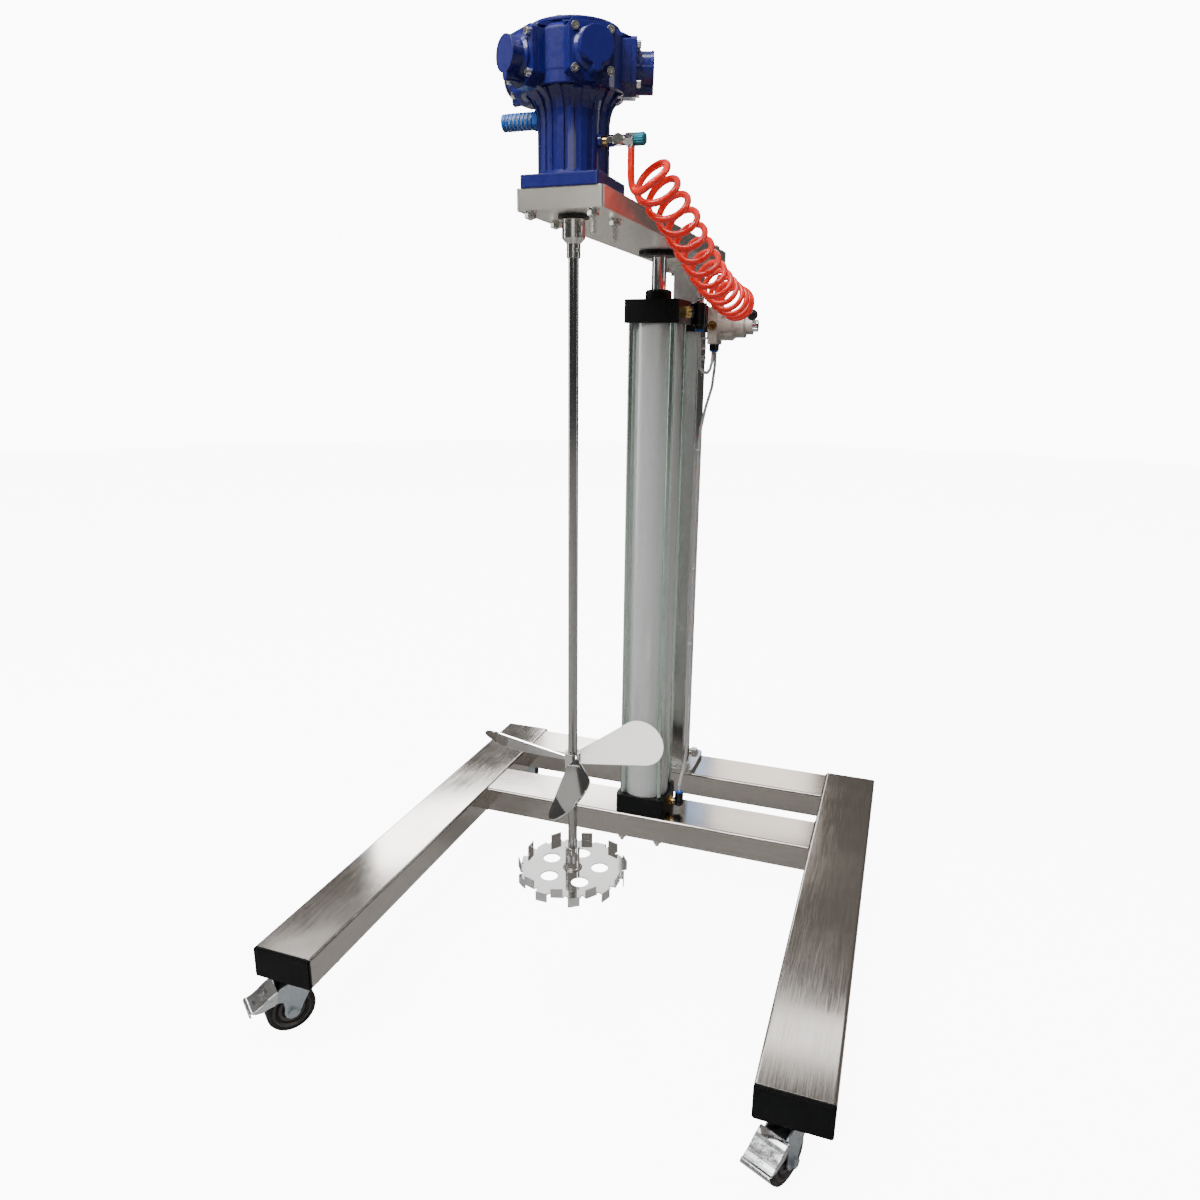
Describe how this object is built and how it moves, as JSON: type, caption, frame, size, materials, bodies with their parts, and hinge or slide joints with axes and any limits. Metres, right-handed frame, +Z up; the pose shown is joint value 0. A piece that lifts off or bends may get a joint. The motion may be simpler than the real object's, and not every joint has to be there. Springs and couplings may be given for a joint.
{
  "type": "pneumatic paint mixer",
  "caption": "Mobile air-powered paint mixer: a U-shaped wheeled base, an air cylinder that lifts an arm, and a radial air motor turning a shaft with a propeller and a toothed disc.",
  "frame": {"origin": "on the floor, midway between the side rails and midway along them", "axes": "+Z up, +X to the side with the valve and the hose, -Y to the open end of the base where the drum goes in"},
  "size_m": [0.8753, 0.9523, 1.392],
  "materials": {
    "brushed_stainless": "brushed",
    "satin_stainless": "satin",
    "polished_stainless": "polished",
    "hard_chrome": "polished",
    "zinc_plate": "zinc plated",
    "zinc_bolts": "zinc plated",
    "barrel_aluminium": "anodised",
    "black_anodised": "black anodised",
    "black_plastic": "satin",
    "fitting_plastic": "gloss",
    "ring_plastic": "gloss",
    "clear_tube": "clear",
    "hose_red": "gloss",
    "tie_white": "satin",
    "valve_cream": "gloss paint",
    "brass": "machined",
    "blue_enamel": "gloss enamel",
    "silencer_blue": "satin",
    "knob_teal": "satin",
    "ball_black": "gloss",
    "wheel_rubber": "satin",
    "seal_rubber": "matt",
    "nylon": "satin",
    "machine_steel": "ground",
    "bronze": "machined"
  },
  "bodies": {
    "stand": {"left_side_rail": "brushed_stainless", "right_side_rail": "brushed_stainless", "front_cross_rail": "brushed_stainless", "rear_cross_rail": "brushed_stainless", "rail_end_caps": "black_plastic", "caster_plates": "zinc_plate", "cylinder_foot_cap": "black_anodised", "cylinder_head_cap": "black_anodised", "cylinder_barrel": "barrel_aluminium", "cylinder_tie_rods": "hard_chrome", "rod_gland": "black_anodised", "stand_bolts": "zinc_bolts", "guide_post": "polished_stainless", "guide_foot_flange": "satin_stainless", "guide_collar": "black_plastic", "valve_bracket": "satin_stainless", "valve_body": "valve_cream", "port_elbows": "fitting_plastic", "brass_nipples": "brass", "release_rings": "ring_plastic", "flow_screw": "hard_chrome", "air_tubes": "clear_tube", "cable_ties": "tie_white", "coil_hose": "hose_red"},
    "lift": {"piston": "black_anodised", "piston_rod": "hard_chrome", "rod_flange": "black_anodised", "arm": "satin_stainless", "guide_bar": "polished_stainless", "guide_bar_flange": "satin_stainless", "guide_shoe": "nylon", "motor_housing": "blue_enamel", "cylinder_covers": "blue_enamel", "cover_screws": "zinc_bolts", "motor_top_cover": "blue_enamel", "motor_mount_bolts": "zinc_bolts", "shaft_seal": "seal_rubber", "motor_bearings": "machine_steel", "motor_pistons": "machine_steel", "distributor_sleeve": "bronze", "silencer": "silencer_blue", "throttle_body": "hard_chrome"},
    "spindle": {"crankshaft": "machine_steel", "coupling": "satin_stainless", "mixer_shaft": "polished_stainless", "propeller": "polished_stainless", "dispersing_disc": "polished_stainless"},
    "throttle_knob": {"throttle_knob": "knob_teal"},
    "valve_lever": {"valve_lever": "hard_chrome", "lever_ball": "ball_black"},
    "front_left_caster": {"front_left_fork": "zinc_plate"},
    "front_left_wheel": {"front_left_wheel": "wheel_rubber"},
    "front_left_pedal": {"front_left_pedal": "zinc_plate"},
    "front_right_caster": {"front_right_fork": "zinc_plate"},
    "front_right_wheel": {"front_right_wheel": "wheel_rubber"},
    "front_right_pedal": {"front_right_pedal": "zinc_plate"},
    "rear_left_caster": {"rear_left_fork": "zinc_plate"},
    "rear_left_wheel": {"rear_left_wheel": "wheel_rubber"},
    "rear_right_caster": {"rear_right_fork": "zinc_plate"},
    "rear_right_wheel": {"rear_right_wheel": "wheel_rubber"}
  },
  "joints": [
    {"name": "lift", "type": "slide", "parent": "stand", "child": "lift", "axis": [0, 0, 1], "range_m": [0, 0.8], "deforming": ["coil_hose"]},
    {"name": "spindle_turn", "type": "hinge", "parent": "lift", "child": "spindle", "pos_m": [0, -0.222, 1.2], "axis": [0, 0, 1], "continuous": true},
    {"name": "throttle_turn", "type": "hinge", "parent": "lift", "child": "throttle_knob", "pos_m": [0.09, -0.234, 1.2655], "axis": [1, 0, 0], "range_deg": [0, 720]},
    {"name": "valve_turn", "type": "hinge", "parent": "stand", "child": "valve_lever", "pos_m": [0.1265, 0.39, 1.074], "axis": [1, 0, 0], "range_deg": [-45, 45]},
    {"name": "front_left_swivel", "type": "hinge", "parent": "stand", "child": "front_left_caster", "pos_m": [-0.376, -0.395, 0.09], "axis": [0, 0, 1], "continuous": true},
    {"name": "front_left_roll", "type": "hinge", "parent": "front_left_caster", "child": "front_left_wheel", "pos_m": [-0.39405, -0.41896, 0.0375], "axis": [0.7986, -0.6018, 0], "continuous": true},
    {"name": "front_left_brake", "type": "hinge", "parent": "front_left_caster", "child": "front_left_pedal", "pos_m": [-0.41151, -0.44212, 0.068], "axis": [0.7986, -0.6018, 0], "range_deg": [0, 18]},
    {"name": "front_right_swivel", "type": "hinge", "parent": "stand", "child": "front_right_caster", "pos_m": [0.376, -0.395, 0.09], "axis": [0, 0, 1], "continuous": true},
    {"name": "front_right_roll", "type": "hinge", "parent": "front_right_caster", "child": "front_right_wheel", "pos_m": [0.3638, -0.42241, 0.0375], "axis": [0.9135, -0.4067, 0], "continuous": true},
    {"name": "front_right_brake", "type": "hinge", "parent": "front_right_caster", "child": "front_right_pedal", "pos_m": [0.352, -0.4489, 0.068], "axis": [0.9135, -0.4067, 0], "range_deg": [0, 18]},
    {"name": "rear_left_swivel", "type": "hinge", "parent": "stand", "child": "rear_left_caster", "pos_m": [-0.376, 0.395, 0.09], "axis": [0, 0, 1], "continuous": true},
    {"name": "rear_left_roll", "type": "hinge", "parent": "rear_left_caster", "child": "rear_left_wheel", "pos_m": [-0.37079, 0.42454, 0.0375], "axis": [-0.9848, 0.1736, 0], "continuous": true},
    {"name": "rear_right_swivel", "type": "hinge", "parent": "stand", "child": "rear_right_caster", "pos_m": [0.376, 0.395, 0.09], "axis": [0, 0, 1], "continuous": true},
    {"name": "rear_right_roll", "type": "hinge", "parent": "rear_right_caster", "child": "rear_right_wheel", "pos_m": [0.38121, 0.42454, 0.0375], "axis": [-0.9848, 0.1736, 0], "continuous": true}
  ]
}
